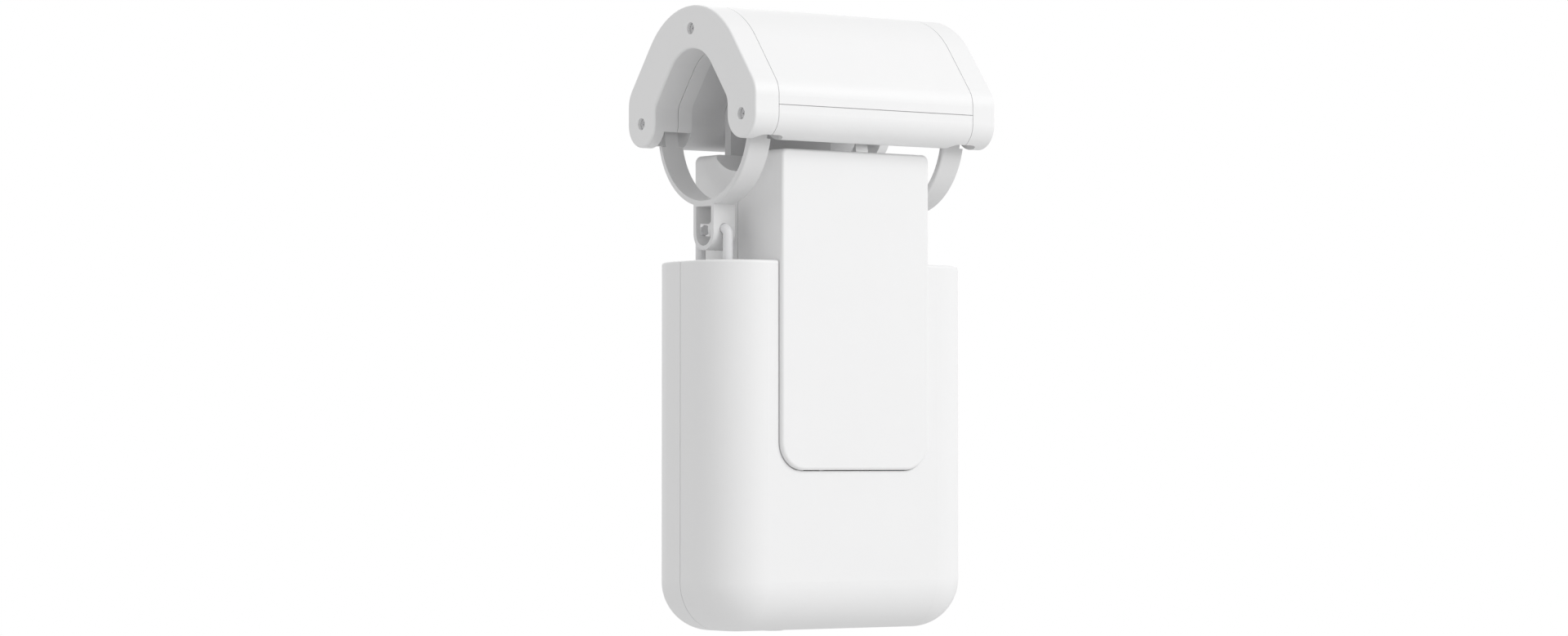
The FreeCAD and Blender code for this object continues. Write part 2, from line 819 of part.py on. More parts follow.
def arm_screws():
    screws = []
    for name, side in sides:
        x = side * arm_screw_x
        head = cyl_y(arm_screw_head_r, arm_front_y, arm_front_y + arm_screw_head_h, x, arm_screw_z)
        shank = cyl_y(arm_screw_r, arm_front_y, arm_screw_end, x, arm_screw_z)
        screws.append(head.fuse(shank))
    return Part.makeCompound(screws)


def lift_spring(side):
    # Close-wound tension spring drawn as its barrel, with an eye on the cover's post and a hook in the arm
    x = side * spring_x
    hook_z = arm_bottom + spring_eye_r
    barrel_top = arm_bottom - spring_eye_r
    barrel_low = spring_low_z + 2 * spring_eye_r
    barrel = cyl_z(spring_r, barrel_low, barrel_top, x, spring_y)
    inside_low = barrel_low + spring_wire
    inside_top = barrel_top - spring_wire
    barrel = barrel.cut(cyl_z(spring_r - spring_wire, inside_low, inside_top, x, spring_y))
    half = spring_wire / 2
    eye_y = (spring_y - half, spring_y + half)
    eye = cyl_y(spring_eye_r, *eye_y, x, spring_low_z)
    tail = box(x - half, x + half, *eye_y, spring_low_z, barrel_low)
    eye = eye.fuse(tail).cut(cyl_y(spring_post_r + shaft_gap, *eye_y, x, spring_low_z))
    stem_y = arm_front_y - part_gap
    stem = box(x - spring_hook_r, x + spring_hook_r, stem_y - spring_wire, stem_y, barrel_top, hook_z)
    hook = cyl_y(spring_hook_r, stem_y - spring_wire, arm_rear_y, x, hook_z)
    return fuse([barrel, eye, stem, hook])


# Rings and bails


def ring_outline(radius, x0, x1):
    # Half round below, straight arms above
    arms = box(x0, x1, -radius, radius, ring_z, ring_arm_top)
    below = box(x0, x1, -radius, radius, ring_z - radius, ring_z)
    return cyl_x(radius, x0, x1, 0, ring_z).common(below).fuse(arms).removeSplitter()


def curtain_ring(side):
    # Flat strap under the rod with two slimmer arms, open at the top, and a loop under it, one moulding
    x0 = -ring_x - ring_width / 2
    x1 = -ring_x + ring_width / 2
    arm_x0 = -ring_x - ring_arm_width / 2
    arm_x1 = -ring_x + ring_arm_width / 2
    outer_r = ring_inner_r + ring_band
    band = ring_outline(outer_r, x0, x1)
    band = band.makeFillet(ring_edge_r, [e for e in band.Edges if e.BoundBox.XLength < hair
                                         and e.BoundBox.ZMin < ring_arm_top - hair])
    arms = box(arm_x0, arm_x1, -outer_r, outer_r, ring_arm_low, ring_arm_top)
    strap = box(x0, x1, -outer_r, outer_r, ring_z - outer_r, ring_arm_low)
    band = band.common(strap.fuse(arms))
    bore = ring_outline(ring_inner_r, x0, x1)
    loop_z = eyelet_bottom + eyelet_half_width
    loop = cyl_x(eyelet_half_width, x0, x1, 0, loop_z)
    loop = loop.fuse(box(x0, x1, -eyelet_half_width, eyelet_half_width, loop_z, eyelet_top)).removeSplitter()
    hole_r = eyelet_half_width - eyelet_wall
    hole = cyl_x(hole_r, x0, x1, 0, loop_z).fuse(box(x0, x1, -hole_r, hole_r, loop_z, eyelet_hole_top))
    loop = loop.cut(hole.removeSplitter())
    boss = cyl_y(eyelet_boss_r, -eyelet_half_width + eyelet_wall / 2, eyelet_boss_y, -ring_x, bail_pin_z)
    half_w = eyelet_window_w / 2
    half_h = eyelet_window_h / 2
    window = box(-ring_x - half_w, -ring_x + half_w, eyelet_half_width - 2 * eyelet_wall, eyelet_half_width,
                 bail_pin_z - half_h, bail_pin_z + half_h)
    pin_hole = cyl_y(bail_wire_r + bail_gap, -eyelet_half_width, eyelet_boss_y, -ring_x, bail_pin_z)
    whole = band.fuse(loop).cut(bore).fuse(boss).cut(window).cut(pin_hole)
    return mirrored(whole.removeSplitter(), side)


def wire_along(points, radii, wire_r):
    # Round wire along straight runs joined by tangent arcs
    edges = []
    start = points[0]
    for i in range(1, len(points) - 1):
        into = (points[i] - points[i - 1]).normalize()
        out = (points[i + 1] - points[i]).normalize()
        turn = into.getAngle(out)
        reach = radii[i - 1] * math.tan(turn / 2)
        a = points[i] - into * reach
        b = points[i] + out * reach
        inward = (out - into).normalize()
        mid = points[i] + inward * (radii[i - 1] / math.cos(turn / 2) - radii[i - 1])
        edges.append(Part.makeLine(start, a))
        edges.append(Part.Arc(a, mid, b).toShape())
        start = b
    edges.append(Part.makeLine(start, points[-1]))
    spine = Part.Wire(edges)
    circle = Part.makeCircle(wire_r, points[0], points[1] - points[0])
    return spine.makePipeShell([Part.Wire([circle])], True, False)


def bail(side):
    # Wire bail: two legs up from the body, turned in at the top like a bucket handle's ends
    x = -ring_x
    end_front = -eyelet_half_width + eyelet_wall
    end_rear = eyelet_half_width - eyelet_wall / 2
    points = [
        vec(x, end_front, bail_pin_z),
        vec(x, -bail_leg_y, bail_pin_z),
        vec(x, -bail_leg_y, bail_base_z),
        vec(x, bail_leg_y, bail_base_z),
        vec(x, bail_leg_y, bail_pin_z),
        vec(x, end_rear, bail_pin_z),
    ]
    top_r = bail_leg_y - eyelet_half_width
    radii = [top_r, bail_base_bend_r, bail_base_bend_r, top_r]
    return mirrored(wire_along(points, radii, bail_wire_r), side)


def bail_grommets():
    grommets = []
    for name, side in sides:
        for y in (-bail_leg_y, bail_leg_y):
            x = side * ring_x
            flange = cyl_z(grommet_r, body_top, body_top + grommet_rise, x, y)
            neck = cyl_z(grommet_r - seam_depth, body_top - body_wall, body_top, x, y)
            bore = cyl_z(bail_wire_r, body_top - body_wall, body_top + grommet_rise, x, y)
            grommets.append(flange.fuse(neck).cut(bore))
    return Part.makeCompound(grommets)


# Battery and electronics


def battery_cell(side):
    x = side * cell_x
    can = cyl_z(cell_r, cell_bottom, cell_bottom + cell_length - cell_cap_h, x, 0)
    return can.fuse(cyl_z(cell_cap_r, cell_bottom, cell_bottom + cell_length, x, 0)).removeSplitter()


def holder_rib_y(x):
    # How far back the inside of the body's corner reaches at this X
    inner_r = body_corner_r - body_wall
    past = abs(x) + holder_wall / 2 - (body_x - body_corner_r)
    return body_y - body_corner_r + math.sqrt(inner_r ** 2 - past ** 2)


def battery_holder(side):
    # Cradle behind the cell, with an end wall at the top and the bottom
    x = side * cell_x
    y0 = cell_r + holder_gap
    low = cell_bottom - holder_wall
    high = cell_bottom + cell_length + holder_wall
    back = box(x - holder_half_width, x + holder_half_width, y0, y0 + holder_wall, low, high)
    half = cell_cap_r * 2
    ends = [box(x - half, x + half, 0, y0, z, z + holder_wall) for z in (low, high - holder_wall)]
    rib = box(x - holder_wall / 2, x + holder_wall / 2, y0 + holder_wall, holder_rib_y(x), low + cell_r, high)
    return fuse([back, rib] + ends)


def circuit_board():
    board = box(-board_half_width, board_half_width, board_y, board_rear_y, board_bottom, board_top)
    chips = []
    for x in (-chip_size, chip_size):
        z = (board_top + board_bottom) / 2
        chips.append(box(x - chip_size / 2, x + chip_size / 2, board_y - chip_height, board_y,
                         z - chip_size / 2, z + chip_size / 2))
    return fuse([board] + chips)


def charging_port():
    z0 = body_bottom + port_wall
    z1 = z0 + port_depth
    y = port_y()
    shell = obround(port_width / 2, port_height / 2, z0, z1, 0, y)
    hollow = obround(port_width / 2 - port_wall, port_height / 2 - port_wall, z0, z1 - port_wall, 0, y)
    half = port_width / 2 - 3 * port_wall
    tongue = box(-half, half, y - port_tongue / 2, y + port_tongue / 2, z0 + port_tongue, z1 - port_wall)
    return fuse([shell.cut(hollow), tongue])


def control_button():
    y = port_y()
    wall_top = body_bottom + body_wall
    cap = cyl_z(button_r, body_bottom - button_proud, wall_top, button_x, y)
    flange = cyl_z(button_flange_r, wall_top, wall_top + button_flange_h, button_x, y)
    return cap.fuse(flange).removeSplitter()


def button_switch():
    z0 = body_bottom + body_wall + button_flange_h + button_travel + shaft_gap
    half = switch_size / 2
    y = port_y()
    return box(button_x - half, button_x + half, y - half, board_y, z0, z0 + switch_size)


def status_light():
    y = port_y()
    return cyl_z(light_r, body_bottom, body_bottom + port_depth, light_x, y)


os.makedirs("parts", exist_ok=True)

top_cover, front_strip, rear_strip = head_covers()
save("head_top_cover", top_cover)
save("head_front_strip", front_strip)
save("head_rear_strip", rear_strip)
save("head_frame", head_frame())
save("end_cap_screws", cap_screws())
save("rear_arm", rear_arm())
save("arm_screws", arm_screws())
save("drive_wheel_tyre", drive_tyre())
save("drive_wheel_hub", drive_hub())
save("drive_axle", drive_axle())
save("wheel_gear", wheel_gear())
save("transfer_gear", transfer_gear())
save("transfer_gear_pin", transfer_pin())
save("motor_pinion", motor_pinion())
save("motor_shaft", motor_shaft())
save("gear_motor", gear_motor())
save("gearbox_front_plate", gearbox_front())
save("gearbox_rear_plate", gearbox_rear())
save("drive_bearings", drive_bearings())
save("gearbox_screws", gearbox_screws())
save("neck_front_cover", neck_front_cover())
save("neck_rear_cover", neck_rear_cover())
front_half, back_half = body_halves()
save("body_front_shell", body_front_shell(front_half))
save("body_back_cover", body_back_cover(back_half))
save("housing_screws", housing_screws())
save("bail_grommets", bail_grommets())
save("circuit_board", circuit_board())
save("charging_port", charging_port())
save("control_button", control_button())
save("button_switch", button_switch())
save("status_light", status_light())
for side_name, side_sign in sides:
    save("head_end_cap_" + side_name, end_cap(side_sign))
    save("idler_tyre_" + side_name, idler_tyre(side_sign))
    save("idler_bush_" + side_name, idler_bush(side_sign))
    save("idler_axle_" + side_name, idler_axle(side_sign))
    save("lift_spring_" + side_name, lift_spring(side_sign))
    save("curtain_ring_" + side_name, curtain_ring(side_sign))
    save("ring_bail_" + side_name, bail(side_sign))
    save("battery_cell_" + side_name, battery_cell(side_sign))
    save("battery_holder_" + side_name, battery_holder(side_sign))
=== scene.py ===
import bpy
import math
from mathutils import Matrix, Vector


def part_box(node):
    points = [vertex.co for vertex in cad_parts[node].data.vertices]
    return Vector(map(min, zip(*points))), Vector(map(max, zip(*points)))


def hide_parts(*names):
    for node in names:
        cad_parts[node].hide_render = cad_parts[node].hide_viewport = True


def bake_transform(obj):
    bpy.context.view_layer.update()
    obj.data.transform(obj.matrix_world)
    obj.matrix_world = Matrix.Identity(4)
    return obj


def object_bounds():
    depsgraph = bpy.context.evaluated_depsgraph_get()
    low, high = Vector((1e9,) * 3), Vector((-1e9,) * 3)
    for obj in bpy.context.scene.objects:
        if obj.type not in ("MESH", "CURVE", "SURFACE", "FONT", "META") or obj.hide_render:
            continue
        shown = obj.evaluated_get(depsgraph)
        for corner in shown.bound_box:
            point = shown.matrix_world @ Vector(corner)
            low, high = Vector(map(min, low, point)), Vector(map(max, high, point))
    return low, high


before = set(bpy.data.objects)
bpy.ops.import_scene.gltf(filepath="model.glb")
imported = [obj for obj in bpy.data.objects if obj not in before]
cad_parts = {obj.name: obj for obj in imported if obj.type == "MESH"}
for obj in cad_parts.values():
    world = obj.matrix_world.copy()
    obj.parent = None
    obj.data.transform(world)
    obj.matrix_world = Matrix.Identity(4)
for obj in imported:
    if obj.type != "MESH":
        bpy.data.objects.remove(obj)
cad_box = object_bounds()

# Gearbox plates
# Two black glass-filled nylon plates, spaced by four posts that are moulded with the front one.
# Matt, with short glass fibres that show faintly as flecks under the surface.
nylon_black = (0.028, 0.028, 0.03)
nylon_fleck = (0.06, 0.06, 0.062)
fleck_size = 0.0005
fleck_run = (1, 1, 0.3)
fleck_threshold = 0.6
sheen_size = 10 * fleck_size
nylon_grain = 0.00001


class Field:
    """A shader socket that Python's operators work on, each adding one Math node."""

    def __init__(self, tree, socket):
        self.tree = tree
        self.socket = socket

    def node(self, kind, settings=None, sockets=None, output=0):
        """Adds any node: its settings first, then values or links for its sockets."""
        made = self.tree.nodes.new(kind)
        for name, value in (settings or {}).items():
            setattr(made, name, value)
        for name, value in (sockets or {}).items():
            if isinstance(value, Field):
                self.tree.links.new(value.socket, made.inputs[name])
            else:
                made.inputs[name].default_value = value
        return Field(self.tree, made.outputs[output])

    def maths(self, operation, first, second=0.0):
        return self.node("ShaderNodeMath", {"operation": operation}, {0: first, 1: second})

    def __add__(self, other):
        return self.maths("ADD", self, other)

    __radd__ = __add__

    def __mul__(self, other):
        return self.maths("MULTIPLY", self, other)

    __rmul__ = __mul__

    def __gt__(self, other):
        return self.maths("GREATER_THAN", self, other)


def new_finish(name, colour, roughness, metallic=0.0, specular=0.5):
    """A material, its shader, and the place on the object as a Field."""
    material = bpy.data.materials.new(name)
    material.use_nodes = True
    tree = material.node_tree
    shader = tree.nodes["Principled BSDF"]
    shader.inputs["Base Color"].default_value = (*colour, 1)
    shader.inputs["Roughness"].default_value = roughness
    shader.inputs["Metallic"].default_value = metallic
    shader.inputs["Specular IOR Level"].default_value = specular
    place = Field(tree, tree.nodes.new("ShaderNodeTexCoord").outputs["Object"])
    return material, shader, place


def feed(shader, name, field):
    field.tree.links.new(field.socket, shader.inputs[name])


def noise(place, size, detail=2.0, roughness=0.5):
    """Noise whose patches measure about size, from 0 to 1."""
    return place.node("ShaderNodeTexNoise", {"noise_dimensions": "3D"},
                      {"Vector": place, "Scale": 1 / size, "Detail": detail, "Roughness": roughness})


def stretched(place, scale):
    """The place scaled along each axis, for marks that run one way."""
    return place.node("ShaderNodeVectorMath", {"operation": "MULTIPLY"}, {0: place, 1: scale})


def axis_of(place, axis):
    """One coordinate of the place: 0, 1 or 2 for X, Y or Z."""
    return place.node("ShaderNodeSeparateXYZ", None, {0: place}, axis)


def raise_surface(shader, place, height, depth):
    """Lifts the surface by a height field, depth metres from 0 to 1."""
    bump = place.node("ShaderNodeBump", None, {"Height": height, "Distance": depth, "Strength": 1.0})
    feed(shader, "Normal", bump)


def roughen(shader, field, low, span):
    """Roughness from low to low + span, by a field from 0 to 1."""
    feed(shader, "Roughness", low + span * field)


def tinted(place, low, high, mix):
    """A colour between two, by a field from 0 to 1."""
    return place.node("ShaderNodeMix", {"data_type": "RGBA"}, {0: mix, 6: (*low, 1), 7: (*high, 1)}, 2)


def paint(finish, *nodes):
    for name in nodes:
        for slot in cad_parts[name].material_slots:
            slot.material = finish


nylon, shader, place = new_finish("glass filled nylon", nylon_black, 0.55, specular=0.4)
fleck = noise(stretched(place, fleck_run), fleck_size, detail=3.0) > fleck_threshold
feed(shader, "Base Color", tinted(place, nylon_black, nylon_fleck, fleck))
roughen(shader, noise(place, sheen_size), low=0.5, span=0.12)
raise_surface(shader, place, noise(place, fleck_size), nylon_grain)
paint(nylon, "gearbox_front_plate", "gearbox_rear_plate")

# Drive bearings
# Two sintered bronze bushes pressed into the plates, porous and holding oil.
bronze_light = (0.52, 0.36, 0.17)
bronze_dark = (0.3, 0.19, 0.08)
pore_size = 0.00015
pore_depth = 0.000012

bronze, shader, place = new_finish("sintered bronze", bronze_light, 0.42, metallic=1.0)
pores = noise(place, pore_size, detail=4.0, roughness=0.7)
feed(shader, "Base Color", tinted(place, bronze_dark, bronze_light, pores))
roughen(shader, pores, low=0.3, span=0.25)
raise_surface(shader, place, pores, pore_depth)
paint(bronze, "drive_bearings")

# Shafts, pins and axles
# Ground steel rod for what turns. The spring wire and the port's shell share its finish further on.
# Grinding leaves fine rings about the axle's length, and an oil film evens the gloss.
steel_bright = (0.62, 0.62, 0.63)
steel_dim = (0.48, 0.48, 0.5)
grinding_pitch = 0.00012
grinding_depth = 0.0000015
mark_run = 0.05


def machined_steel(name, along, bright, dim):
    """Bare steel with tool marks across one axis: 0, 1 or 2."""
    finish, shader, place = new_finish(name, bright, 0.3, metallic=1.0)
    scale = [mark_run, mark_run, mark_run]
    scale[along] = 1.0
    marks = noise(stretched(place, scale), grinding_pitch, detail=3.0, roughness=0.7)
    feed(shader, "Base Color", tinted(place, dim, bright, marks))
    roughen(shader, marks, low=0.2, span=0.2)
    raise_surface(shader, place, marks, grinding_depth)
    return finish


ground_steel = machined_steel("ground steel", 1, steel_bright, steel_dim)
paint(ground_steel, "drive_axle", "transfer_gear_pin", "motor_shaft", "idler_axle_left", "idler_axle_right")

# Gear motor
# A deep-drawn, zinc-plated steel can holding the motor and its own reduction gears, standing in the gearbox.
# Drawing leaves faint lines down the can, and the plating clouds it with a cool sheen.
zinc_light = (0.6, 0.61, 0.63)
zinc_dark = (0.46, 0.47, 0.5)
draw_line_pitch = 0.0004
draw_line_run = (1, 0.04, 1)
draw_line_depth = 0.000003
spangle_size = 12 * draw_line_pitch

zinc, shader, place = new_finish("zinc plated can", zinc_light, 0.34, metallic=1.0)
lines = noise(stretched(place, draw_line_run), draw_line_pitch, detail=3.0)
spangle = noise(place, spangle_size, detail=3.0)
feed(shader, "Base Color", tinted(place, zinc_dark, zinc_light, spangle))
roughen(shader, spangle, low=0.24, span=0.2)
raise_surface(shader, place, lines, draw_line_depth)
paint(zinc, "gear_motor")

# Gear train
# Three spur gears injected in natural acetal: the wheel's gear, the transfer gear and the motor's pinion.
# Acetal is waxy and slightly translucent, with flow marks that spread from the bore.
acetal_light = (0.8, 0.78, 0.7)
acetal_dark = (0.74, 0.71, 0.62)
flow_size = 0.003
gear_grain_size = flow_size / 12
acetal_grain = 0.000003
glow_share = 0.15
glow_depth = 0.001

acetal, shader, place = new_finish("natural acetal", acetal_light, 0.35)
shader.inputs["Subsurface Weight"].default_value = glow_share
shader.inputs["Subsurface Scale"].default_value = glow_depth
flow = noise(place, flow_size, detail=4.0)
feed(shader, "Base Color", tinted(place, acetal_dark, acetal_light, flow))
roughen(shader, flow, low=0.28, span=0.14)
raise_surface(shader, place, noise(place, gear_grain_size), acetal_grain)
paint(acetal, "wheel_gear", "transfer_gear", "motor_pinion")

# Drive wheel and idler tyres
# Black rubber moulded on white hubs, each face hollowed to the rod's round.
# Matt, with a fine knurl across the tread and a bloom of lighter wear where it meets the rod.
rubber_black = (0.018, 0.018, 0.019)
rubber_bloom = (0.045, 0.045, 0.047)
knurl_pitch = 0.0009
knurl_depth = 0.00005
rubber_patch = 0.004
rubber_grain_size = rubber_patch / 12
knurl_share = 0.5

rubber, shader, place = new_finish("moulded rubber", rubber_black, 0.7, specular=0.35)
bloom = noise(place, rubber_patch, detail=4.0, roughness=0.6)
knurl = place.maths("SINE", axis_of(place, 1) * (2 * math.pi / knurl_pitch))
feed(shader, "Base Color", tinted(place, rubber_black, rubber_bloom, bloom))
roughen(shader, bloom, low=0.6, span=0.2)
raise_surface(shader, place, knurl * knurl_share + noise(place, rubber_grain_size), knurl_depth)
paint(rubber, "drive_wheel_tyre", "idler_tyre_left", "idler_tyre_right")

hub_white = (0.7, 0.7, 0.69)
hub_shade = tuple(0.93 * c for c in hub_white)
hub_grain_size = flow_size / 15
hub_plastic, shader, place = new_finish("hub acetal", hub_white, 0.4)
mottle = noise(place, flow_size, detail=3.0)
feed(shader, "Base Color", tinted(place, hub_shade, hub_white, mottle))
roughen(shader, mottle, low=0.34, span=0.12)
raise_surface(shader, place, noise(place, hub_grain_size), acetal_grain)
paint(hub_plastic, "drive_wheel_hub", "idler_bush_left", "idler_bush_right")

# Outer covers of the neck, body and head
# White moulded plastic with a fine, even spark-eroded grain that keeps the gloss low.
# Each cover is its own moulding, screwed or clipped to what is behind it, with a narrow seam between.
covers = ("neck_front_cover", "neck_rear_cover", "body_front_shell", "body_back_cover", "head_top_cover",
          "head_front_strip", "head_rear_strip", "head_end_cap_left", "head_end_cap_right")
cover_white = (0.86, 0.86, 0.862)
cover_roughness = 0.42
cover_grain_size = 0.00022
cover_grain_depth = 0.000006
cloud_per_grain = 60
cloud_shade = 0.985
cloud_span = 0.08


def moulded_plastic(name, colour, roughness, grain_size, grain_depth):
    """A plastic whose tone and gloss cloud slightly, with a spark-eroded grain."""
    finish, shader, place = new_finish(name, colour, roughness, specular=0.45)
    grain = noise(place, grain_size, detail=3.0, roughness=0.6)
    cloud = noise(place, cloud_per_grain * grain_size)
    darker = tuple(cloud_shade * c for c in colour)
    feed(shader, "Base Color", tinted(place, darker, colour, cloud))
    roughen(shader, cloud, low=roughness - cloud_span / 2, span=cloud_span)
    raise_surface(shader, place, grain, grain_depth)
    return finish


cover_plastic = moulded_plastic("cover plastic", cover_white, cover_roughness, cover_grain_size,
                                cover_grain_depth)
paint(cover_plastic, *covers)

# Screws
# Small zinc-plated screws. Those of the end caps have a cross recess and sit in pale counterbores.
screw_light = (0.78, 0.78, 0.785)
screw_dim = (0.66, 0.66, 0.67)
plating_size = 0.0006
screw_grain_size = 0.0001
screw_grain_depth = 0.000003

screw_finish, shader, place = new_finish("plated screw", screw_light, 0.4, metallic=0.25)
plating = noise(place, plating_size, detail=4.0)
feed(shader, "Base Color", tinted(place, screw_dim, screw_light, plating))
roughen(shader, plating, low=0.3, span=0.2)
raise_surface(shader, place, noise(place, screw_grain_size), screw_grain_depth)
paint(screw_finish, "end_cap_screws", "arm_screws", "gearbox_screws", "housing_screws")

# Head frame, rear arm and battery holders
# Structural mouldings behind the covers, a shade greyer and coarser in the grain.
frame_grey = (0.74, 0.74, 0.745)
frame_plastic = moulded_plastic("frame plastic", frame_grey, roughness=0.5, grain_size=0.0003,
                                grain_depth=0.000008)
paint(frame_plastic, "head_frame", "rear_arm", "battery_holder_left", "battery_holder_right")

# Battery cells
# Two cylindrical lithium cells in a shrink sleeve, with a pressed steel cap at the top.
# The sleeve is glossy and slightly wrinkled, and stops short of the cap.
sleeve_blue = (0.09, 0.22, 0.42)
sleeve_edge = (0.82, 0.83, 0.82)
cap_band = 0.0009
crease_size = 0.002
crease_run = (1, 1, 0.15)
crease_depth = 0.00004
for side in ("left", "right"):
    low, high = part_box("battery_cell_" + side)
    sleeve, shader, place = new_finish("shrink sleeve " + side, sleeve_blue, 0.25)
    at_cap = axis_of(place, 2) > high.z - cap_band
    crease = noise(stretched(place, crease_run), crease_size, detail=3.0)
    feed(shader, "Base Color", tinted(place, sleeve_blue, sleeve_edge, at_cap))
    feed(shader, "Metallic", at_cap * 1.0)
    roughen(shader, crease, low=0.2, span=0.15)
    raise_surface(shader, place, crease, crease_depth)
    paint(sleeve, "battery_cell_" + side)

# Circuit board
# Glass laminate under green solder mask, with copper tracks just visible.
# Two black moulded chips stand in front of it.
mask_green = (0.01, 0.09, 0.04)
track_green = (0.03, 0.17, 0.07)
chip_black = (0.02, 0.02, 0.021)
track_pitch = 0.0012
track_run = (1, 1, 0.2)
track_threshold = 0.55
track_height = 0.00003
chip_depth = 0.0012
board_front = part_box("circuit_board")[0].y + 0.98 * chip_depth

board_finish, shader, place = new_finish("board laminate", mask_green, 0.3)
tracks = noise(stretched(place, track_run), track_pitch, detail=0.0) > track_threshold
is_board = axis_of(place, 1) > board_front
mask_colour = tinted(place, mask_green, track_green, tracks)
board_colour = place.node("ShaderNodeMix", {"data_type": "RGBA"},
                          {0: is_board, 6: (*chip_black, 1), 7: mask_colour}, 2)
feed(shader, "Base Color", board_colour)
roughen(shader, is_board, low=0.45, span=-0.2)
raise_surface(shader, place, tracks * is_board, track_height)
paint(board_finish, "circuit_board")

# Charging port
# A stamped and plated steel shell about a plastic tongue, in the middle of the floor.
port_bright = (0.7, 0.7, 0.72)
port_dim = (0.6, 0.6, 0.62)
paint(machined_steel("port shell", 2, port_bright, port_dim), "charging_port")

# Control button and its switch
# A white cap with a flange inside the floor, over a black tact switch on the board.
button_white = (0.8, 0.8, 0.8)
switch_black = (0.03, 0.03, 0.032)
button_plastic = moulded_plastic("button plastic", button_white, roughness=0.3, grain_size=0.00025,
                                 grain_depth=0.000003)
switch_plastic = moulded_plastic("switch plastic", switch_black, roughness=0.5, grain_size=0.0003,
                                 grain_depth=0.000006)
paint(button_plastic, "control_button")
paint(switch_plastic, "button_switch")

# Status light
# A clear acrylic pipe that carries the light of a diode on the board to the floor.
acrylic_tint = (0.9, 0.94, 0.95)
acrylic_clearness = 0.85
acrylic_ior = 1.49
acrylic_wave_size = 0.0008
acrylic_wave_depth = 0.000004
acrylic, shader, place = new_finish("clear acrylic", acrylic_tint, 0.08)
shader.inputs["Transmission Weight"].default_value = acrylic_clearness
shader.inputs["IOR"].default_value = acrylic_ior
raise_surface(shader, place, noise(place, acrylic_wave_size), acrylic_wave_depth)
paint(acrylic, "status_light")

# Lift springs
# Two close-wound tension springs of 0.6 mm wire that pull the head down on the rod.
# Each is one wire: an eye on a post of the back cover, the coils, and a hook through the arm.
spring_wire_r = 0.0003
eye_r = 0.002
coil_clearance = 0.00003
coil_steps = 20
eye_start = 110
eye_sweep = 320
hook_inset = 0.0008
spring_steel = machined_steel("spring steel", 2, steel_bright, steel_dim)


def wound_wire(name, path, radius):
    """A round wire along a path of points, as a mesh."""
    line = bpy.data.curves.new(name, "CURVE")
    line.dimensions = "3D"
    line.bevel_depth = radius
    line.bevel_resolution = 2
    line.use_fill_caps = True
    spline = line.splines.new("POLY")
    spline.points.add(len(path) - 1)
    for point, here in zip(spline.points, path):
        point.co = (*here, 1)
    holder = bpy.data.objects.new(name + "_line", line)
    bpy.context.scene.collection.objects.link(holder)
    mesh = bpy.data.meshes.new_from_object(holder.evaluated_get(bpy.context.evaluated_depsgraph_get()))
    bpy.data.objects.remove(holder)
    mesh.shade_smooth()
    wire = bpy.data.objects.new(name, mesh)
    bpy.context.scene.collection.objects.link(wire)
    return wire


for side in ("left", "right"):
    low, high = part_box("lift_spring_" + side)
    arm_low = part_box("rear_arm")[0]
    x = (low.x + high.x) / 2
    coil_r = (high.x - low.x) / 2 - spring_wire_r
    y = low.y + coil_r + spring_wire_r
    coil_low = low.z + 3 * eye_r
    coil_top = arm_low.z - eye_r
    pitch = 2 * spring_wire_r + coil_clearance
    turns = int((coil_top - coil_low) / pitch)
    eye_bend = eye_r - spring_wire_r
    path = []
    for step in range(coil_steps):
        angle = math.radians(eye_start + eye_sweep * step / (coil_steps - 1))
        path.append((x + eye_bend * math.cos(angle), y, low.z + eye_r + eye_bend * math.sin(angle)))
    for step in range(turns * coil_steps + 1):
        angle = 2 * math.pi * step / coil_steps
        rise = (coil_top - coil_low) * step / (turns * coil_steps)
        path.append((x + coil_r * math.cos(angle), y + coil_r * math.sin(angle), coil_low + rise))
    hook_z = arm_low.z + eye_r
    hook_y = arm_low.y - hook_inset
    hook_steps = coil_steps // 2
    path.append((x, hook_y, coil_top + 2 * spring_wire_r))
    for step in range(hook_steps):
        angle = math.pi / 2 * step / (hook_steps - 1)
        bend_y = hook_y + hook_inset * (1 - math.cos(angle))
        bend_z = hook_z - hook_inset * (1 - math.sin(angle))
        path.append((x, bend_y, bend_z))
    path.append((x, high.y - spring_wire_r, hook_z))
    spring = wound_wire("coil_spring_" + side, path, spring_wire_r)
    spring.data.materials.append(spring_steel)
    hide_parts("lift_spring_" + side)
    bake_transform(spring)

# Curtain rings
# Satin white plastic straps that pass under the rod, each with a loop below for its bail.
ring_white = (0.76, 0.76, 0.762)
ring_plastic = moulded_plastic("ring plastic", ring_white, roughness=0.36, grain_size=0.0003,
                               grain_depth=0.000004)
paint(ring_plastic, "curtain_ring_left", "curtain_ring_right")

# Bails and grommets
# Steel wire with a white powder coat, bent to a handle whose ends turn into the ring's loop.
# It stands in two grey grommets in the body's top.
coat_white = (0.8, 0.8, 0.81)
grommet_grey = (0.5, 0.5, 0.51)
powder_coat = moulded_plastic("powder coat", coat_white, roughness=0.38, grain_size=0.0004,
                              grain_depth=0.000006)
grommet_plastic = moulded_plastic("grommet plastic", grommet_grey, roughness=0.5, grain_size=0.0003,
                                  grain_depth=0.000004)
paint(powder_coat, "ring_bail_left", "ring_bail_right")
paint(grommet_plastic, "bail_grommets")

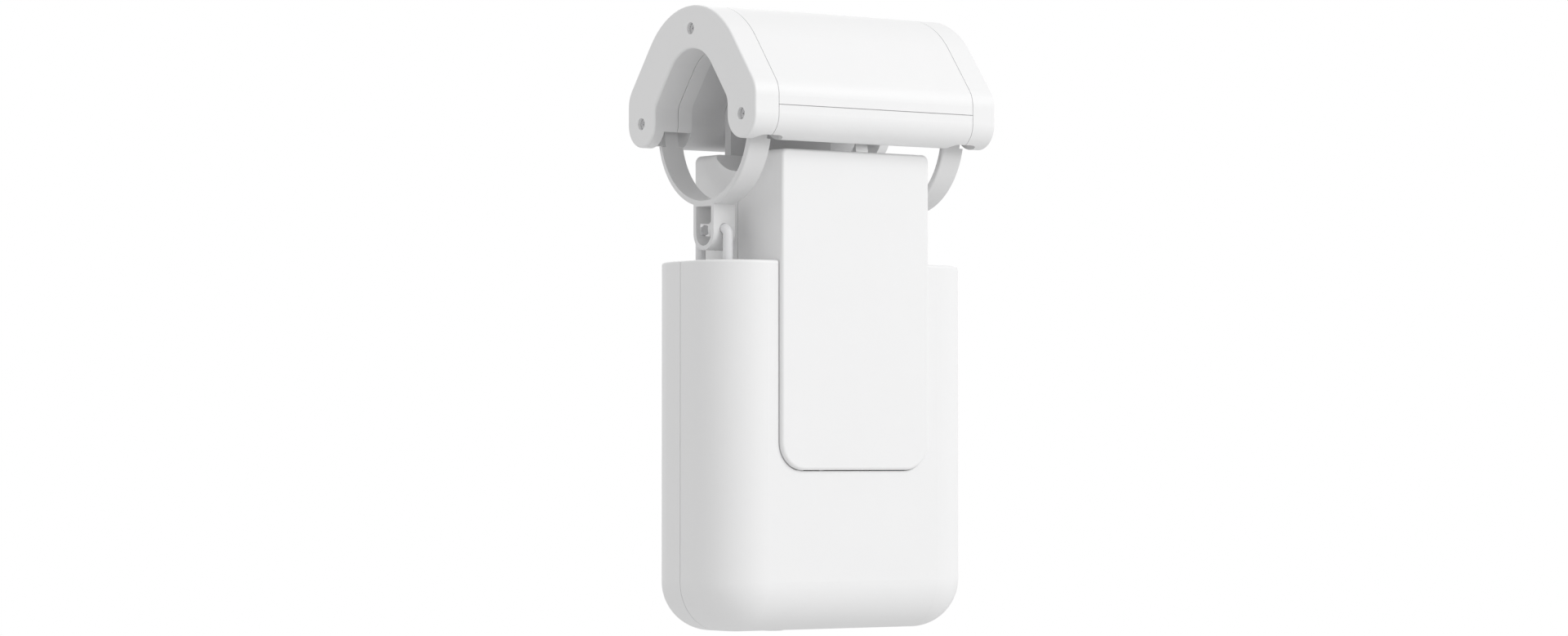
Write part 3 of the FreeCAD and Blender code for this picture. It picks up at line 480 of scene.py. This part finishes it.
# Floor and backdrop
# A plain grey studio floor well below the object, which the camera sees close to white.
floor_drop = 0.25
floor_half = 4.0
floor_grey = (0.72, 0.72, 0.72)
floor_whiteness = 0.85
floor_z = cad_box[0].z - floor_drop
corners = [(x * floor_half, y * floor_half, floor_z) for x, y in ((-1, -1), (1, -1), (1, 1), (-1, 1))]
floor_mesh = bpy.data.meshes.new("floor")
floor_mesh.from_pydata(corners, [], [(0, 1, 2, 3)])
floor = bpy.data.objects.new("floor", floor_mesh)
bpy.context.scene.collection.objects.link(floor)
floor_finish, shader, place = new_finish("studio floor", floor_grey, 0.9)
floor_mesh.materials.append(floor_finish)


def ray_kind(tree, kind):
    """1 for rays of one kind and 0 for the others."""
    return Field(tree, tree.nodes.new("ShaderNodeLightPath").outputs[kind])


lit_floor = Field(place.tree, shader.outputs["BSDF"])
white_floor = place.node("ShaderNodeEmission")
to_camera = floor_whiteness * ray_kind(place.tree, "Is Camera Ray")
shown_floor = place.node("ShaderNodeMixShader", None, {0: to_camera, 1: lit_floor, 2: white_floor})
feed(place.tree.nodes["Material Output"], "Surface", shown_floor)

# Studio light
# A large soft lamp from the upper right front and a weaker one from behind, in an even white room.
# The camera, mirrors and glass see the room as pure white.
room_level = 0.72
lamp_target = (0, 0, -0.06)
lamp_size = 1.2
key_place = (0.9, -1.9, 1.1)
key_power = 23
back_place = (0.7, 1.9, 1.0)
back_power = 7
world = bpy.data.worlds.new("studio")
bpy.context.scene.world = world
world.use_nodes = True
room = world.node_tree.nodes["Background"]
room.inputs["Color"].default_value = (1, 1, 1, 1)
seen = (ray_kind(world.node_tree, "Is Camera Ray") + ray_kind(world.node_tree, "Is Glossy Ray")
        + ray_kind(world.node_tree, "Is Transmission Ray"))
feed(room, "Strength", room_level + (1 - room_level) * seen)


def area_lamp(name, lamp_place, power):
    lamp = bpy.data.lights.new(name, "AREA")
    lamp.size = lamp_size
    lamp.energy = power
    holder = bpy.data.objects.new(name, lamp)
    holder.location = lamp_place
    holder.rotation_euler = (Vector(lamp_target) - Vector(lamp_place)).to_track_quat("-Z", "Y").to_euler()
    bpy.context.scene.collection.objects.link(holder)


area_lamp("key lamp", key_place, key_power)
area_lamp("back lamp", back_place, back_power)

# Camera
# Level with the lower body, 36 degrees round to the left of the front, with a long lens.
camera_place = Vector((-0.7419, -1.0076, -0.0964))
camera_turn = math.radians(36)
camera_rise = math.radians(1.8)
camera_lens = 99.4
camera_sensor = 36.0
camera = bpy.data.cameras.new("camera")
camera.lens = camera_lens
camera.sensor_width = camera_sensor
camera_holder = bpy.data.objects.new("camera", camera)
camera_holder.location = camera_place
look = Vector((math.sin(camera_turn) * math.cos(camera_rise), math.cos(camera_turn) * math.cos(camera_rise),
               math.sin(camera_rise)))
camera_holder.rotation_euler = look.to_track_quat("-Z", "Y").to_euler()
bpy.context.scene.collection.objects.link(camera_holder)
bpy.context.scene.camera = camera_holder
bpy.context.scene.view_settings.view_transform = "Standard"
